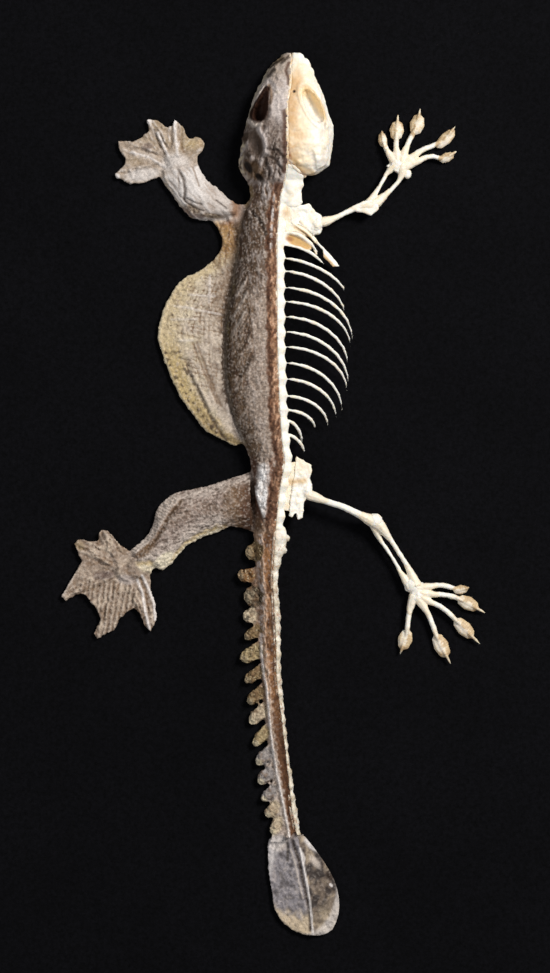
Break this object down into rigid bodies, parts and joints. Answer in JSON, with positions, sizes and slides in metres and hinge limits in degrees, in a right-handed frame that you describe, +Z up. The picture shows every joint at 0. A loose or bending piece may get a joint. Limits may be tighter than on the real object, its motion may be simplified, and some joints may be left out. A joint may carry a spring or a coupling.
{
  "type": "half-skeleton gecko specimen",
  "caption": "Dried flying gecko spread flat on a black board: skin with flank, toe and tail flaps on the left half, cleaned bones on the right half.",
  "frame": {"origin": "middle of the board's underside", "axes": "+Y along the animal's body towards the head, +Z up through its back, +X towards the side that shows the bones"},
  "size_m": [0.148, 0.21, 0.0148],
  "materials": {
    "board": "matt black card with a fine fibrous grain",
    "bone": "dry ivory bone, smooth and slightly waxy",
    "skin": "dried scaly skin, matt, wrinkled",
    "flap": "thin dried skin, translucent, finely creased"
  },
  "bodies": {
    "root": {"board": "board", "flank_flap": "flap", "skull_right": "bone", "jaw_right": "bone", "neck_bones": "bone", "trunk_ribs": "bone", "sacrum": "bone", "tail_bones": "bone", "shoulder_blade": "bone", "breast_bar": "bone", "humerus": "bone", "radius": "bone", "ulna": "bone", "hand_bones": "bone", "pelvis": "bone", "femur": "bone", "tibia": "bone", "fibula": "bone", "foot_bones": "bone", "finger_1": "bone", "finger_2": "bone", "finger_3": "bone", "finger_4": "bone", "finger_5": "bone", "toe_1": "bone", "toe_2": "bone", "toe_3": "bone", "toe_4": "bone", "toe_5": "bone", "head_skin": "skin", "neck_skin": "skin", "torso_skin": "skin", "hip_skin": "skin", "upper_arm_skin": "skin", "forearm_skin": "skin", "hand_skin": "skin", "thigh_skin": "skin", "shank_skin": "skin", "foot_skin": "skin", "tail_skin_front": "skin", "tail_skin_rear": "skin", "tail_end_left": "skin", "tail_end_right": "skin"}
  },
  "joints": []
}
